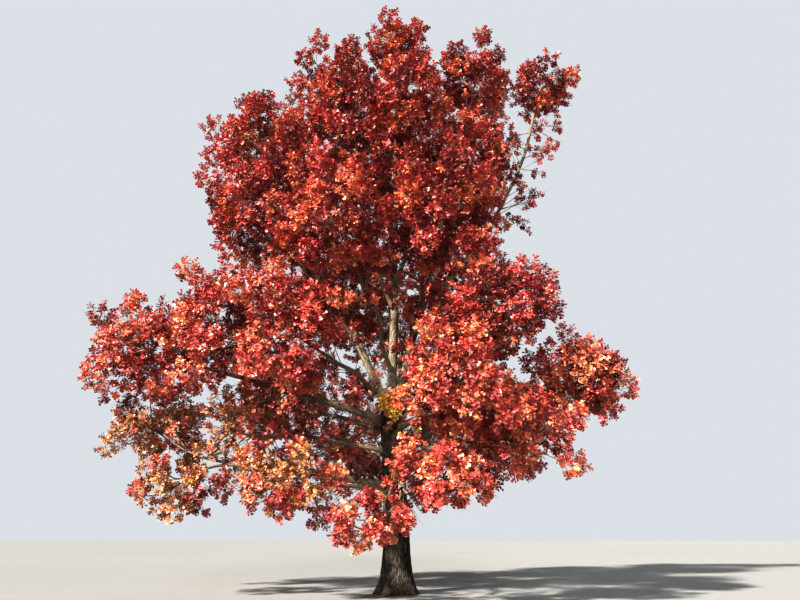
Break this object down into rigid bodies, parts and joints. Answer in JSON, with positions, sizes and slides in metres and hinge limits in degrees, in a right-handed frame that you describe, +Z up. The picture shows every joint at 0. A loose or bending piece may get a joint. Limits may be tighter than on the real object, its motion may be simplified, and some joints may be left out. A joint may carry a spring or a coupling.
{
  "type": "scarlet oak",
  "caption": "Grown scarlet oak in autumn leaf: a short leaning trunk with a root flare, spreading boughs and open masses of red, russet and gold foliage, fixed at the ground.",
  "frame": {"origin": "middle of the trunk's flat cut at ground level", "axes": "+Z up, -Y towards the side that was pictured, +X to the right of that side"},
  "size_m": [16.7243, 13.7618, 20.9378],
  "materials": {
    "bark": "rough, furrowed grey-brown bark with olive and pale lichen tones on the upper limbs",
    "scarlet_leaves": "satin scarlet to crimson autumn leaves",
    "russet_leaves": "satin russet and orange autumn leaves",
    "gold_leaves": "satin gold autumn leaves"
  },
  "bodies": {
    "root": {"bough_back_left_low": "bark", "bough_back_left_mid": "bark", "bough_back_low": "bark", "bough_back_right_low": "bark", "bough_back_right_mid": "bark", "bough_big_left": "bark", "bough_front": "bark", "bough_front_high": "bark", "bough_front_left_high": "bark", "bough_front_low": "bark", "bough_front_mid": "bark", "bough_leader_back": "bark", "bough_leader_centre": "bark", "bough_leader_left": "bark", "bough_leader_right": "bark", "bough_left_front_up": "bark", "bough_left_high": "bark", "bough_left_mid": "bark", "bough_left_upper": "bark", "bough_low_left_long": "bark", "bough_low_left_near": "bark", "bough_low_left_short": "bark", "bough_right": "bark", "bough_right_high": "bark", "bough_right_low": "bark", "bough_right_mid": "bark", "bough_right_shoulder": "bark", "bough_right_up": "bark", "foliage_back_high": "scarlet_leaves", "foliage_back_low": "scarlet_leaves", "foliage_back_low_left": "scarlet_leaves", "foliage_back_low_right": "scarlet_leaves", "foliage_back_mid_left": "scarlet_leaves", "foliage_back_mid_right": "scarlet_leaves", "foliage_far_left": "scarlet_leaves", "foliage_far_right": "scarlet_leaves", "foliage_front_drip": "scarlet_leaves", "foliage_high_left": "scarlet_leaves", "foliage_high_right": "scarlet_leaves", "foliage_left_front": "scarlet_leaves", "foliage_left_inner": "scarlet_leaves", "foliage_low_far_left": "russet_leaves", "foliage_low_front": "scarlet_leaves", "foliage_low_front_skirt": "scarlet_leaves", "foliage_low_left": "russet_leaves", "foliage_low_left_fringe": "russet_leaves", "foliage_low_left_front": "russet_leaves", "foliage_low_right": "scarlet_leaves", "foliage_mid_front": "scarlet_leaves", "foliage_mid_front_right": "scarlet_leaves", "foliage_mid_left": "scarlet_leaves", "foliage_right_front": "scarlet_leaves", "foliage_shoulder_left": "scarlet_leaves", "foliage_shoulder_right": "scarlet_leaves", "foliage_top": "scarlet_leaves", "foliage_trunk_sprouts": "gold_leaves", "foliage_upper_front": "scarlet_leaves", "foliage_upper_front_left": "scarlet_leaves", "foliage_upper_right": "scarlet_leaves", "trunk": "bark"}
  },
  "joints": []
}
